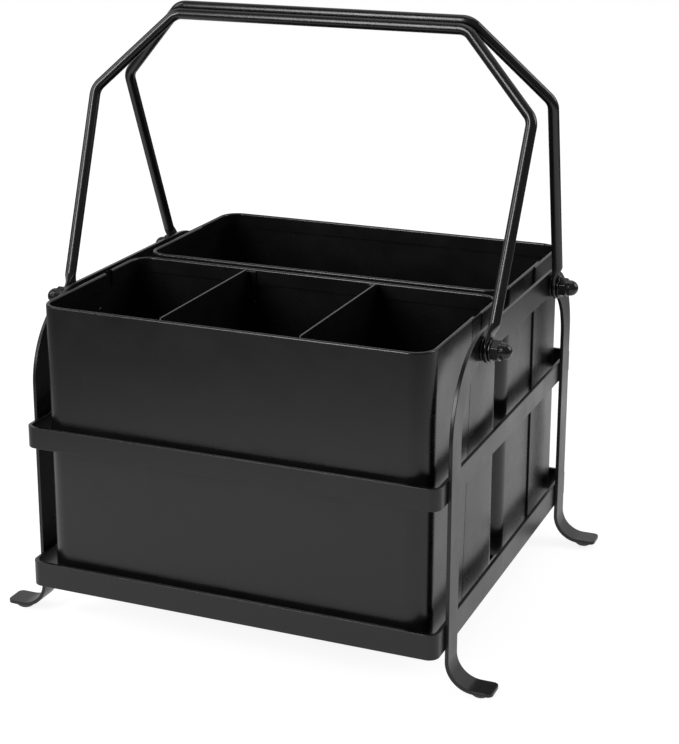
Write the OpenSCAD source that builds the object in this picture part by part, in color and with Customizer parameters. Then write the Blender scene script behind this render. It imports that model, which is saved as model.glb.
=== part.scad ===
// Cutlery caddy: two lift-out sheet steel bins stand in a frame of flat steel strip, under two folding rod
// handles that lean on each other. Millimetres; X runs left to right, Y front to back and Z up. The origin
// lies on the table, midway between the four feet.

/* [Bins] */
// Width of a bin over its rear shell
bin_w = 174; // [150:1:220]
// Depth of a bin
bin_d = 88.5; // [70:0.5:120]
// Height of a bin
bin_h = 123.4; // [90:0.2:160]
// Gap between the two bins
bin_gap = 5.4; // [2:0.2:12]
// Outside radius of the bins' corners
bin_corner_r = 9.3; // [4:0.1:20]
// Thickness of the sheet
sheet_t = 0.8; // [0.5:0.1:1.2]
// Height of the hem folded inwards at the rim
hem_h = 7; // [4:0.5:12]
// Distance from a bin's front face to the front edge of its rear shell
seam_y = 45; // [30:0.5:55]
// Overlap of the two shells
lap = 10; // [5:0.5:15]

/* [Dividers] */
// Width of the middle compartment, between the dividers' centre planes
middle_w = 61.8; // [40:0.2:90]
// Width of a divider's flange
flange_w = 4.7; // [3:0.1:8]
// Distance from the rim down to the top of a flange
flange_drop = 1; // [0.5:0.5:4]

/* [Frame] */
// Thickness of the flat strip
strip_t = 1.6; // [1:0.1:2.5]
// Gap between a bin's side and the bands
side_gap = 3.8; // [2.6:0.1:8]
// Gap between a bin's end and the bands
end_gap = 3.2; // [1:0.1:8]
// Distance from a band's front face back to the leg's edge
leg_inset = 10.6; // [8:0.2:25]
// Width of a leg
leg_w = 11; // [7:0.5:13]
// Height of a top rail
rail_h = 11; // [9:0.5:14]
// Outside radius of the shoulders
shoulder_r = 36.8; // [25:0.2:45]
// Height of the bins' rims above the top rails
rim_proud = 1.7; // [0:0.1:10]

/* [Bands] */
// Height of the lower band's bottom edge above the table
low_band_z = 19.5; // [16:0.5:30]
// Height of the lower band
low_band_h = 11; // [7:0.5:16]
// Height of the mid band's bottom edge above the table
mid_band_z = 82.7; // [60:0.1:95]
// Height of the mid band
mid_band_h = 9.4; // [6:0.2:16]
// Outside radius of the bands' corners
band_corner_r = 4.6; // [2:0.2:8]
// Width of a base strap
strap_w = 12; // [6:0.5:20]
// Distance from a base strap's outer edge to the bands' inner faces
strap_inset = 6.8; // [1:0.2:60]

/* [Feet] */
// Inside radius of the curl that turns a leg into a foot
curl_r = 10.8; // [6:0.2:12]
// Length of the flat between the curl and the end of the foot
foot_flat = 7.6; // [5:0.1:14]
// Radius of the corners of a foot's end
foot_corner_r = 2.4; // [0.5:0.1:3.4]
// Distance from the end of a foot back to the middle of its pad
pad_inset = 6.2; // [4.5:0.1:9]
// Diameter of a foot pad where it meets the foot
pad_d = 9.8; // [6:0.2:11]
// Diameter of the flat that a foot pad stands on
pad_flat_d = 5.2; // [2:0.2:5.5]
// Height of a foot pad
pad_h = 2.4; // [1.2:0.1:3.5]

/* [Handles] */
// Diameter of the handle rod
rod_d = 4.8; // [4:0.1:6]
// Distance from a leg's outer edge in to the pivots
pivot_inset = 35.4; // [30:0.2:44]
// Distance from a top rail's centre line down to the pivots
pivot_low = 1.5; // [0:0.1:1.8]
// Height of a handle's lower bends above the pivots, along the handle
arm_bend_h = 94.3; // [70:0.1:100]
// Height of the grip's centre line above the pivots, along the handle
arm_h = 130.2; // [110:0.1:160]
// How far each leg splays outwards up to its lower bend
arm_splay = 3.8; // [0:0.1:8]
// Width between the corners of the grip
grip_w = 134.8; // [100:0.2:150]
// Centre-line radius of the handle's bends
handle_bend_r = 7.5; // [6:0.5:12]
// How far behind the middle the front handle's grip comes to rest
grip_past = 1.7; // [0:0.1:4]
// Gap between the resting grips
grip_gap = 0.3; // [0.2:0.05:0.5]
// Thickness of the flattened rod end
paddle_t = 2.2; // [1.6:0.1:3]
// Diameter of the flattened rod end
paddle_d = 11; // [10.2:0.2:14]
// Distance from the washers' edge up to the end of the flat
neck_gap = 0.6; // [0.4:0.1:3]
// Length of the stretch that turns the flat into round rod
neck_l = 5; // [4:0.2:14]

/* [Pivot hardware] */
// Diameter of the pivot bolts
bolt_d = 5; // [4:0.5:6]
// Diameter of a bolt's head
bolt_head_d = 9.5; // [8:0.5:11]
// Height of a bolt's head
bolt_head_h = 1.8; // [1.4:0.1:2.2]
// Hexagon socket in a bolt's head, across flats
socket_af = 3; // [2:0.5:3.5]
// Outside diameter of the washers
washer_d = 10; // [8:0.5:12]
// Thickness of the washers under the nuts
washer_t = 0.8; // [0.5:0.1:1.2]
// Thickness of the washers between the side frames and the handles
spacer_t = 1; // [0.5:0.1:1.6]
// Acorn nut, across flats
nut_af = 8; // [7:0.5:10]
// Height of the nut's hexagon
nut_hex_h = 3.2; // [2.6:0.1:5]
// Diameter of the nut's dome
nut_dome_d = 7; // [6.4:0.1:8]
// Height of the whole nut
nut_l = 8; // [7.6:0.1:12]
// Radial clearance of the pivot bolts in their holes
pivot_fit = 0.05; // [0.02:0.01:0.1]
// Play on each face of the flattened rod end
pivot_play = 0.1; // [0.05:0.05:0.2]

/* [Hidden] */

// Overrun of every cut past the face that it leaves
over = 1;
// Colours of the powder coat, the bright parts of the handles and the rubber
coat = "#1c1c1d";
rod_coat = "#242426";
rubber = "#101010";

// Places across the caddy, from its middle plane outwards
band_x = bin_w / 2 + side_gap + strip_t;
frame_x = band_x + strip_t;
foot_flat_x = frame_x + curl_r;
pad_x = foot_flat_x + foot_flat - pad_inset;
paddle_x = frame_x + spacer_t + pivot_play;
washer_x = paddle_x + paddle_t + pivot_play;
nut_x = washer_x + washer_t;

// Places along the caddy
bin_front_y = -(bin_gap / 2 + bin_d);
bin_rear_y = bin_gap / 2;
band_y = bin_gap / 2 + bin_d + end_gap + strip_t;
leg_y = band_y - leg_inset;
leg_mid_y = leg_y - leg_w / 2;
pivot_y = leg_y - pivot_inset;

// Heights above the table
bin_z = low_band_z + strip_t;
rim_z = bin_z + bin_h;
frame_h = rim_z - rim_proud;
pivot_z = frame_h - rail_h / 2 - pivot_low;
curl_z = pad_h + strip_t + curl_r;

// Inside radius of the shoulders, about the same centres as the outside
shoulder_in_r = shoulder_r - (leg_w + rail_h) / 2;
// Inside bend radius of a divider's flanges
flange_bend_r = sheet_t;

// A handle leans back until its grip stops just past the middle; the other one stops against it. The rear
// lean is the angle at the rear pivot of the triangle between that pivot and the two grips.
front_lean = asin((pivot_y + grip_past) / arm_h);
front_grip = [-pivot_y + arm_h * sin(front_lean), arm_h * cos(front_lean)];
to_front_grip = front_grip - [pivot_y, 0];
grips_apart = rod_d + grip_gap;
grips_angle = acos((arm_h ^ 2 + norm(to_front_grip) ^ 2 - grips_apart ^ 2) / (2 * arm_h * norm(to_front_grip)));
rear_lean = atan2(-to_front_grip[0], to_front_grip[1]) - grips_angle;

// Corners of a handle's centre line in its own plane, from the right pivot round to the left one
arm_foot_x = frame_x + rod_d / 2 + grip_gap + pivot_play;
arm_bend_x = arm_foot_x + arm_splay;
handle_corners = [
    [arm_foot_x, 0], [arm_bend_x, arm_bend_h], [grip_w / 2, arm_h],
    [-grip_w / 2, arm_h], [-arm_bend_x, arm_bend_h], [-arm_foot_x, 0]
];
// The flat neck past the washers, and the stretch that turns it into round rod
neck_h = washer_d / 2 + neck_gap;
neck_w = (paddle_d + rod_d) / 2;
neck_top = neck_h + neck_l;
// The rod swells by a hair in its bends, and each straight run ends just inside the bend or neck that it meets
hair = rod_d / 100;
sunk = 2 * hair;

// Heading of the line from a to b, and the left turn from one heading to the next
function heading(a, b) = atan2(b[1] - a[1], b[0] - a[0]);
function turn(a, b, c) = (heading(b, c) - heading(a, b) + 360) % 360;
function along(a, b, s) = a + (b - a) / norm(b - a) * s;
// Length that a bend of radius r takes from each side of the corner b
function bend_reach(a, b, c, r) = r * tan(turn(a, b, c) / 2);

// Repeats its children at both sides, as mirror images
module both_sides() {
    for (side = [0, 1])
        mirror([side, 0, 0]) children();
}

// Repeats its children at the front and the rear, as mirror images
module both_ends() {
    for (end = [0, 1])
        mirror([0, end, 0]) children();
}

// Plan rectangle with round corners, centred
module round_plan(w, d, r) {
    square([w, d - 2 * r], center = true);
    square([w - 2 * r, d], center = true);
    for (x = [-1, 1], y = [-1, 1])
        translate([x * (w / 2 - r), y * (d / 2 - r)]) circle(r = r, $fn = 64);
}

// Arch with round shoulders, upright in its plane, from z0 to z1
module arch_plan(half_w, z0, z1, r) {
    translate([-half_w, z0]) square([2 * half_w, z1 - r - z0]);
    translate([r - half_w, z1 - r]) square([2 * (half_w - r), r]);
    for (side = [-1, 1])
        translate([side * (half_w - r), z1 - r]) circle(r = r, $fn = 128);
}

// Plan of a foot's flat, from the curl to its end with round corners
module foot_plan() {
    translate([0, -leg_w / 2]) square([foot_flat - foot_corner_r, leg_w]);
    translate([0, foot_corner_r - leg_w / 2]) square([foot_flat, leg_w - 2 * foot_corner_r]);
    for (side = [-1, 1])
        translate([foot_flat - foot_corner_r, side * (leg_w / 2 - foot_corner_r)])
            circle(r = foot_corner_r, $fn = 48);
}

// Foot at the end of a leg: the strip curls outwards to a flat that stands on its pad
module foot() {
    translate([foot_flat_x, 0, curl_z])
        rotate([90, 0, 0]) rotate([0, 0, 180]) rotate_extrude(angle = 90, $fn = 96)
            translate([curl_r, -leg_w / 2]) square([strip_t, leg_w]);
    translate([foot_flat_x, 0, pad_h]) linear_extrude(strip_t) foot_plan();
}

// Side frame on the right: one strip stamped to an arch, drilled for the pivots, its legs curled into feet
module side_frame() {
    color(coat) {
        translate([frame_x - strip_t, 0, 0]) difference() {
            rotate([90, 0, 90]) linear_extrude(strip_t) difference() {
                arch_plan(leg_y, curl_z, frame_h, shoulder_r);
                arch_plan(leg_y - leg_w, curl_z - over, frame_h - rail_h, shoulder_in_r);
            }
            both_ends() translate([-over, pivot_y, pivot_z])
                rotate([0, 90, 0]) cylinder(r = bolt_d / 2 + pivot_fit, h = strip_t + 2 * over, $fn = 48);
        }
        both_ends() translate([0, leg_mid_y, 0]) foot();
    }
}

// Ring of strip that runs inside the legs and round both bins
module band(z, h) {
    color(coat) translate([0, 0, z]) linear_extrude(h) difference() {
        round_plan(2 * band_x, 2 * band_y, band_corner_r);
        round_plan(2 * (band_x - strip_t), 2 * (band_y - strip_t), band_corner_r - strip_t);
    }
}

// Flat strap on the right, between the lower band's ends, that the bins stand on
module base_strap() {
    color(coat) translate([band_x - strip_t - strap_inset - strap_w, strip_t - band_y, low_band_z])
        cube([strap_w, 2 * (band_y - strip_t), strip_t]);
}

// Rubber pad under the front right foot: a dome cut flat where it stands
module foot_pad() {
    dome_z = (pad_d ^ 2 - pad_flat_d ^ 2 + 4 * pad_h ^ 2) / (8 * pad_h);
    dome_r = norm([dome_z, pad_flat_d / 2]);
    color(rubber) translate([pad_x, -leg_mid_y, 0]) intersection() {
        translate([0, 0, dome_z]) sphere(r = dome_r, $fn = 64);
        cylinder(d = pad_d + over, h = pad_h, $fn = 64);
    }
}

// Repeats its children at the four pivots, each with its axis pointing outwards along Z and frame_x at zero
module at_pivots() {
    both_sides() both_ends() translate([frame_x, pivot_y, pivot_z]) rotate([0, 90, 0]) children();
}

// Bolt with a low domed head inside the frame and its end inside the nut
module pivot_bolt() {
    head_r = ((bolt_head_d / 2) ^ 2 + bolt_head_h ^ 2) / (2 * bolt_head_h);
    shank_top = nut_x - frame_x + nut_hex_h;
    difference() {
        union() {
            translate([0, 0, -strip_t]) cylinder(d = bolt_d, h = strip_t + shank_top, $fn = 48);
            translate([0, 0, -strip_t - bolt_head_h]) intersection() {
                translate([0, 0, head_r]) sphere(r = head_r, $fn = 64);
                cylinder(d = bolt_head_d, h = bolt_head_h, $fn = 64);
            }
        }
        translate([0, 0, -strip_t - bolt_head_h - over])
            cylinder(d = socket_af / cos(30), h = bolt_head_h / 2 + over, $fn = 6);
    }
}

// Plain washer of thickness t
module flat_washer(t) {
    difference() {
        cylinder(d = washer_d, h = t, $fn = 64);
        translate([0, 0, -over]) cylinder(r = bolt_d / 2 + pivot_fit, h = t + 2 * over, $fn = 48);
    }
}

// The two washers at a pivot: a spacer against the side frame and one between the rod end and the nut
module pivot_washer_pair() {
    flat_washer(spacer_t);
    translate([0, 0, washer_x - frame_x]) flat_washer(washer_t);
}

// Acorn nut: a hexagon with turned-off corners, a neck and a dome, with a blind hole for the bolt
module acorn_nut() {
    corner_d = nut_af / cos(30);
    corner_h = (corner_d - nut_af) / 2;
    translate([0, 0, nut_x - frame_x]) difference() {
        union() {
            intersection() {
                rotate([0, 0, 5]) cylinder(d = corner_d, h = nut_hex_h, $fn = 6);
                cylinder(d1 = nut_af + 2 * nut_hex_h, d2 = nut_af, h = nut_hex_h, $fn = 64);
                cylinder(d1 = nut_af, d2 = nut_af + 2 * nut_hex_h / tan(30), h = nut_hex_h, $fn = 64);
            }
            cylinder(d = nut_dome_d, h = nut_l - nut_dome_d / 2, $fn = 64);
            translate([0, 0, nut_l - nut_dome_d / 2]) sphere(d = nut_dome_d, $fn = 64);
        }
        translate([0, 0, -over]) cylinder(r = bolt_d / 2 + pivot_fit, h = nut_hex_h + 2 * over, $fn = 48);
    }
}

// Straight run of rod from a to b in the handle's plane
module rod_run(a, b) {
    translate(along(a, b, -sunk)) rotate([0, 0, heading(a, b) - 90]) rotate([-90, 0, 0])
        cylinder(d = rod_d, h = norm(b - a) + 2 * sunk, $fn = 48);
}

// Bend of the rod at the corner b, between the runs from a and to c
module rod_bend(a, b, c) {
    start = along(b, a, bend_reach(a, b, c, handle_bend_r));
    aim = heading(a, b);
    translate(start + handle_bend_r * [-sin(aim), cos(aim)]) rotate([0, 0, aim - 90])
        rotate_extrude(angle = turn(a, b, c), $fn = 96)
            translate([handle_bend_r, 0]) circle(d = rod_d + hair, $fn = 48);
}

// Flattened end of the right leg: a drilled disc on a flat neck that swells back to round rod
module rod_end() {
    a = handle_corners[0];
    b = handle_corners[1];
    slab = sheet_t / 2;
    translate([paddle_x, 0, 0]) rotate([0, 90, 0]) {
        cylinder(d = paddle_d, h = paddle_t, $fn = 64);
        linear_extrude(paddle_t)
            polygon([[-paddle_d / 2, 0], [paddle_d / 2, 0], [neck_w / 2, neck_h], [-neck_w / 2, neck_h]]);
    }
    hull() {
        translate([paddle_x + hair, neck_h - slab, hair - neck_w / 2])
            cube([paddle_t - 2 * hair, slab, neck_w - 2 * hair]);
        translate(along(a, b, neck_top - slab)) rotate([0, 0, heading(a, b)]) rotate([0, 90, 0])
            cylinder(d = rod_d - 2 * hair, h = slab, $fn = 32);
    }
}

// Handle in its own plane: X across, Y up the legs, the pivots' axis through the origin
module handle() {
    corners = handle_corners;
    last = len(corners) - 1;
    // Length that each corner's bend, or the flattened end, takes from the straight runs
    taken = [for (i = [0 : last]) i == 0 || i == last ? neck_top
        : bend_reach(corners[i - 1], corners[i], corners[i + 1], handle_bend_r)];
    color(rod_coat) difference() {
        union() {
            for (i = [0 : last - 1])
                rod_run(along(corners[i], corners[i + 1], taken[i]), along(corners[i + 1], corners[i], taken[i + 1]));
            for (i = [1 : last - 1])
                rod_bend(corners[i - 1], corners[i], corners[i + 1]);
            both_sides() rod_end();
        }
        both_sides() translate([paddle_x - over, 0, 0]) rotate([0, 90, 0])
            cylinder(r = bolt_d / 2 + pivot_fit, h = paddle_t + 2 * over, $fn = 48);
    }
}

// Section of a bin's wall, its outer face at x = 0: sheet folded inwards to a hem with a round top edge
module wall_section() {
    translate([-sheet_t, 0]) square([sheet_t, bin_h - sheet_t]);
    translate([-2 * sheet_t, bin_h - hem_h]) square([sheet_t, hem_h - sheet_t]);
    translate([-sheet_t, bin_h - sheet_t]) circle(r = sheet_t, $fn = 32);
}

// Sheet bent to a U: its end wall at y = 0, its sides running back by reach to their free edges
module u_shell(half_w, reach) {
    run = reach - bin_corner_r;
    both_sides() {
        translate([half_w, reach, 0]) rotate([90, 0, 0]) linear_extrude(run) wall_section();
        translate([half_w - bin_corner_r, bin_corner_r, 0]) rotate([0, 0, -90])
            rotate_extrude(angle = 90, $fn = 96) translate([bin_corner_r, 0]) wall_section();
    }
    translate([half_w - bin_corner_r, 0, 0]) rotate([0, 0, -90]) rotate([90, 0, 0])
        linear_extrude(2 * (half_w - bin_corner_r)) wall_section();
}

// Front shell of a bin, from its front wall back to the end of the lap
module front_shell() {
    color(coat) u_shell(bin_w / 2 - sheet_t, seam_y + lap);
}

// Rear shell of a bin: it lies outside the front shell over the lap, where it has no hem
module rear_shell() {
    color(coat) translate([0, bin_d, 0]) mirror([0, 1, 0]) difference() {
        u_shell(bin_w / 2, bin_d - seam_y);
        both_sides() translate([bin_w / 2 - 4 * sheet_t, bin_d - seam_y - lap, bin_h - hem_h - over])
            cube([3 * sheet_t, lap + over, hem_h + 2 * over]);
    }
}

// Floor of a bin, with a step at the sides where the front shell ends
module bin_floor() {
    front_w = bin_w - 4 * sheet_t;
    rear_w = bin_w - 2 * sheet_t;
    inner_d = bin_d - 2 * sheet_t;
    inner_r = bin_corner_r - sheet_t;
    step_y = seam_y + lap;
    color(coat) translate([0, bin_d / 2, 0]) linear_extrude(sheet_t) {
        intersection() {
            round_plan(front_w, inner_d, inner_r);
            translate([-front_w / 2, -bin_d / 2]) square([front_w, step_y]);
        }
        intersection() {
            round_plan(rear_w, inner_d, inner_r);
            translate([-rear_w / 2, step_y - bin_d / 2]) square([rear_w, bin_d - step_y]);
        }
    }
}

// Half of the right divider's plan: the web, bent to a flange that lies on the rear wall's hem
module divider_plan_half(half_d) {
    bend_out_r = flange_bend_r + sheet_t;
    translate([-sheet_t / 2, 0]) square([sheet_t, half_d - bend_out_r]);
    translate([sheet_t / 2 - bend_out_r, half_d - bend_out_r]) intersection() {
        difference() {
            circle(r = bend_out_r, $fn = 48);
            circle(r = flange_bend_r, $fn = 48);
        }
        square(bend_out_r);
    }
    translate([sheet_t / 2 - flange_w, half_d - sheet_t]) square([flange_w - bend_out_r, sheet_t]);
}

// Divider on the right of the front bin, level with the rim, its flanges turned to the middle and a little lower
module divider() {
    inner_d = bin_d - 4 * sheet_t;
    web_top = bin_h - sheet_t;
    color(coat) translate([middle_w / 2, bin_d / 2, sheet_t]) difference() {
        linear_extrude(web_top) both_ends() divider_plan_half(inner_d / 2);
        both_ends() translate([-flange_w, inner_d / 2 - sheet_t - flange_bend_r, web_top - flange_drop])
            cube([flange_w - sheet_t / 2, 2 * sheet_t + flange_bend_r, flange_drop + over]);
    }
}

// Puts a bin's piece, drawn from the bin's own front face and underside, where the front or the rear bin stands
module in_front_bin() {
    translate([0, bin_front_y, bin_z]) children();
}

module in_rear_bin() {
    translate([0, bin_rear_y, bin_z]) children();
}

mirror([1, 0, 0]) side_frame();  // left_side_frame
side_frame();  // right_side_frame
band(mid_band_z, mid_band_h);  // mid_band
band(low_band_z, low_band_h);  // lower_band
mirror([1, 0, 0]) base_strap();  // left_base_strap
base_strap();  // right_base_strap
mirror([1, 0, 0]) foot_pad();  // front_left_foot_pad
foot_pad();  // front_right_foot_pad
mirror([1, 0, 0]) mirror([0, 1, 0]) foot_pad();  // rear_left_foot_pad
mirror([0, 1, 0]) foot_pad();  // rear_right_foot_pad
color(coat) at_pivots() pivot_bolt();  // pivot_bolts
color(coat) at_pivots() pivot_washer_pair();  // pivot_washers
color(coat) at_pivots() acorn_nut();  // acorn_nuts
translate([0, -pivot_y, pivot_z]) rotate([90 - front_lean, 0, 0]) handle();  // front_handle
mirror([0, 1, 0]) translate([0, -pivot_y, pivot_z]) rotate([90 - rear_lean, 0, 0]) handle();  // rear_handle
in_front_bin() front_shell();  // front_bin_front_shell
in_front_bin() rear_shell();  // front_bin_rear_shell
in_front_bin() bin_floor();  // front_bin_floor
in_front_bin() mirror([1, 0, 0]) divider();  // left_divider
in_front_bin() divider();  // right_divider
in_rear_bin() front_shell();  // rear_bin_front_shell
in_rear_bin() rear_shell();  // rear_bin_rear_shell
in_rear_bin() bin_floor();  // rear_bin_floor
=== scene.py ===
"""Looks of the cutlery caddy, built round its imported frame.

Sizes are in millimetres until a mesh is made. As in the frame, +X is the caddy's right, +Y its rear, +Z up.
Each sub-assembly is a class whose fields hold its sizes and whose build method makes and dresses its pieces.
"""

import logging
import math
from collections.abc import Sequence
from dataclasses import dataclass
from enum import Enum
from functools import cache
from typing import Any

import bmesh
import bpy
import numpy as np
from bpy.types import Material, Mesh, Node, NodeSocket, NodeTree, Object
from mathutils import Matrix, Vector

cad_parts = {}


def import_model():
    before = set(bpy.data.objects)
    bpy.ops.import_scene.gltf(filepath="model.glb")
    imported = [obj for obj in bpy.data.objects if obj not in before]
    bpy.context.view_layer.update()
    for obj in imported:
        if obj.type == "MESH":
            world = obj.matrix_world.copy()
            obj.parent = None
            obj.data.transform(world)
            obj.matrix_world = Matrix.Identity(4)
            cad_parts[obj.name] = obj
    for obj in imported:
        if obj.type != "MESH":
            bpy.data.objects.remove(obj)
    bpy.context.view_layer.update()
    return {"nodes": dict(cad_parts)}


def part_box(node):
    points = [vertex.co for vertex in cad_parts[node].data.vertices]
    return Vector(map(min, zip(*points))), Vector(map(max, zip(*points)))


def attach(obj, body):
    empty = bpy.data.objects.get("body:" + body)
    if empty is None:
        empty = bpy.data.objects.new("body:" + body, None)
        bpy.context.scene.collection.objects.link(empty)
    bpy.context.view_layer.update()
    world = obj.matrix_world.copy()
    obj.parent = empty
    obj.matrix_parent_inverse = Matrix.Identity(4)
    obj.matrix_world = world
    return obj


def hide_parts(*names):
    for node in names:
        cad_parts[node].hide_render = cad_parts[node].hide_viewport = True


LOG = logging.getLogger("caddy")
MM = 0.001
QUARTER = math.pi / 2
MERGE = 0.002 * MM
SHARP_ANGLE = math.radians(38)
FLAT_FACE_WEIGHT = 80
EDGE_STEPS = 4
HOLE_SIDES = 40
HEXAGON_CORNER = 60

Colour = tuple[float, float, float, float]
Point = tuple[float, float, float]


class Sign(Enum):
    """A sign along an axis, with a name."""

    @property
    def word(self) -> str:
        """The name in small letters, as the pieces' names have it."""
        return self.name.lower()


class End(Sign):
    """The two ends of the caddy, as the sign of Y."""

    FRONT = -1
    REAR = 1


class Side(Sign):
    """The two sides of the caddy, as the sign of X."""

    LEFT = -1
    RIGHT = 1


@dataclass(frozen=True)
class Datum:
    """Sizes and places that several sub-assemblies share."""

    strip_t: float = 1.6
    frame_x: float = 94.0
    frame_h: float = 142.8
    leg_y: float = 85.4
    leg_w: float = 11.0
    foot_x: float = 106.2
    pad_h: float = 2.4
    pivot_y: float = 50.0
    pivot_z: float = 135.8
    bolt_d: float = 5.0
    bolt_fit: float = 0.05
    edge_r: float = 0.22

    @property
    def leg_mid_y(self) -> float:
        """Distance from the middle to a leg's centre line."""
        return self.leg_y - self.leg_w / 2

    @property
    def hole_r(self) -> float:
        """Radius of the holes for the pivot bolts."""
        return self.bolt_d / 2 + self.bolt_fit


DATUM = Datum()


# Node trees

def linear(colour: str) -> Colour:
    """Turns an sRGB hex colour to a linear one.

    Args:
        colour: The colour as "#rrggbb".

    Returns:
        Linear red, green and blue, and an alpha of 1.
    """
    channels = [int(colour[i:i + 2], 16) / 255 for i in (1, 3, 5)]
    red, green, blue = (c / 12.92 if c <= 0.04045 else ((c + 0.055) / 1.055) ** 2.4 for c in channels)
    return red, green, blue, 1.0


def grey(level: float) -> Colour:
    """Returns a linear grey with an alpha of 1."""
    return level, level, level, 1.0


def plug(tree: NodeTree, node: Node, inputs: dict) -> None:
    """Sets a node's inputs.

    Args:
        tree: The node's tree.
        node: The node.
        inputs: Each input's value, or the socket or the node that feeds it, by the input's name or number.
    """
    for key, value in inputs.items():
        source = value.outputs[0] if isinstance(value, Node) else value
        if isinstance(source, NodeSocket):
            tree.links.new(source, node.inputs[key])
        else:
            node.inputs[key].default_value = source


def add_node(tree: NodeTree, kind: str, inputs: dict | None = None, **settings: Any) -> Node:
    """Adds a node.

    Args:
        tree: The tree that the node joins.
        kind: The node's type name.
        inputs: What its inputs get, as plug takes it.
        settings: Properties of the node itself.

    Returns:
        The new node.
    """
    node = tree.nodes.new(kind)
    for name, value in settings.items():
        setattr(node, name, value)
    plug(tree, node, inputs or {})
    return node


def geometry_tree(name: str, **inputs: str) -> tuple[NodeTree, Any]:
    """Starts a Geometry Nodes tree.

    Args:
        name: The tree's name.
        inputs: By type, the names of the inputs besides Geometry and Finish, with commas between them.

    Returns:
        The tree and its inputs' sockets by name.
    """
    tree = bpy.data.node_groups.new(name, "GeometryNodeTree")
    for kind, labels in {"Geometry": "Geometry", **inputs, "Material": "Finish"}.items():
        for label in labels.split(", "):
            tree.interface.new_socket(label, in_out="INPUT", socket_type="NodeSocket" + kind)
    tree.interface.new_socket("Geometry", in_out="OUTPUT", socket_type="NodeSocketGeometry")
    return tree, add_node(tree, "NodeGroupInput").outputs


def finish_tree(tree: NodeTree, shape: Node, finish: NodeSocket) -> None:
    """Ends a Geometry Nodes tree in Realize Instances and Set Material.

    Args:
        tree: The tree to end.
        shape: The node that gives its shape.
        finish: The socket that carries its material.
    """
    real = add_node(tree, "GeometryNodeRealizeInstances", {"Geometry": shape})
    coated = add_node(tree, "GeometryNodeSetMaterial", {"Geometry": real, "Material": finish})
    add_node(tree, "NodeGroupOutput", {0: coated})


# Finishes

@dataclass(frozen=True)
class Finish:
    """What a piece is coated with or made of."""

    name: str
    colour: str

    @cache
    def material(self) -> Material:
        """Makes the material, or gives the one that an earlier call made.

        Returns:
            The material.
        """
        made = bpy.data.materials.new(self.name)
        made.use_nodes = True
        tree = made.node_tree
        place = add_node(tree, "ShaderNodeTexCoord").outputs["Object"]
        plug(tree, tree.nodes["Principled BSDF"], self.looks(tree, place))
        return made

    def looks(self, tree: NodeTree, place: NodeSocket) -> dict[str, Any]:
        """Adds the nodes that are the finish's own.

        Args:
            tree: The material's node tree.
            place: The socket with the object's coordinates.

        Returns:
            What the shader's inputs get, by name.
        """
        raise NotImplementedError


@dataclass(frozen=True)
class PowderCoat(Finish):
    """Black polyester powder coat, sprayed and baked on steel: a dull dark face with fine orange peel."""

    worn_colour: str
    roughness: float
    roughness_spread: float = 0.04
    peel_mm: float = 0.8
    peel_depth_mm: float = 0.012
    peel_detail: float = 2.0
    peel_raggedness: float = 0.55
    peel_strength: float = 1.0
    mottle_mm: float = 14.0
    mottle_detail: float = 3.0
    mottle_raggedness: float = 0.6
    mottle_low: float = 0.3
    mottle_high: float = 0.7

    def looks(self, tree: NodeTree, place: NodeSocket) -> dict[str, Any]:
        """Adds the baked film's slow mottling and the orange peel.

        Args:
            tree: The material's node tree.
            place: The socket with the object's coordinates.

        Returns:
            What the shader's inputs get, by name.
        """
        # Slow mottling of the baked film: it shifts the colour and the gloss a little
        mottle = add_node(tree, "ShaderNodeTexNoise", {
            "Vector": place, "Scale": 1 / (self.mottle_mm * MM), "Detail": self.mottle_detail,
            "Roughness": self.mottle_raggedness})
        tint = add_node(tree, "ShaderNodeMix", {
            "Factor": mottle, "A": linear(self.colour), "B": linear(self.worn_colour)}, data_type="RGBA")
        gloss = add_node(tree, "ShaderNodeMapRange", {
            "Value": mottle, "From Min": self.mottle_low, "From Max": self.mottle_high,
            "To Min": self.roughness - self.roughness_spread,
            "To Max": self.roughness + self.roughness_spread})
        # Orange peel: the powder's grains melt into lumps of up to a millimetre
        peel = add_node(tree, "ShaderNodeTexNoise", {
            "Vector": place, "Scale": 1 / (self.peel_mm * MM), "Detail": self.peel_detail,
            "Roughness": self.peel_raggedness})
        bump = add_node(tree, "ShaderNodeBump", {
            "Height": peel, "Strength": self.peel_strength, "Distance": self.peel_depth_mm * MM})
        return {"Base Color": tint.outputs["Result"], "Roughness": gloss, "Normal": bump}


@dataclass(frozen=True)
class MouldedRubber(Finish):
    """Black moulded rubber: duller than the coat, with a fine even grain from the mould."""

    roughness: float
    grain_mm: float = 0.35
    grain_depth_mm: float = 0.02
    grain_strength: float = 0.6

    def looks(self, tree: NodeTree, place: NodeSocket) -> dict[str, Any]:
        """Adds the mould's grain.

        Args:
            tree: The material's node tree.
            place: The socket with the object's coordinates.

        Returns:
            What the shader's inputs get, by name.
        """
        grain = add_node(tree, "ShaderNodeTexVoronoi", {"Vector": place, "Scale": 1 / (self.grain_mm * MM)})
        bump = add_node(tree, "ShaderNodeBump", {
            "Height": grain.outputs["Distance"], "Strength": self.grain_strength,
            "Distance": self.grain_depth_mm * MM})
        return {"Base Color": linear(self.colour), "Roughness": self.roughness, "Normal": bump}


# Powder baked on stamped strip: a dull film with broad, soft lights along the edges
STRIP_COAT = PowderCoat("powder coat on steel strip", "#0c0c0d", "#101011", 0.3)
# The same powder flows smoother round a thin rod, which draws long, narrow lights
ROD_COAT = PowderCoat("powder coat on steel rod", "#0e0e0f", "#141415", 0.24, peel_mm=1.0)
# On wide sheet the film's thickness drifts slowly: large, even faces with a faint cloudiness
SHEET_COAT = PowderCoat("powder coat on sheet steel", "#0c0c0d", "#101011", 0.27, mottle_mm=22.0)
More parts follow.
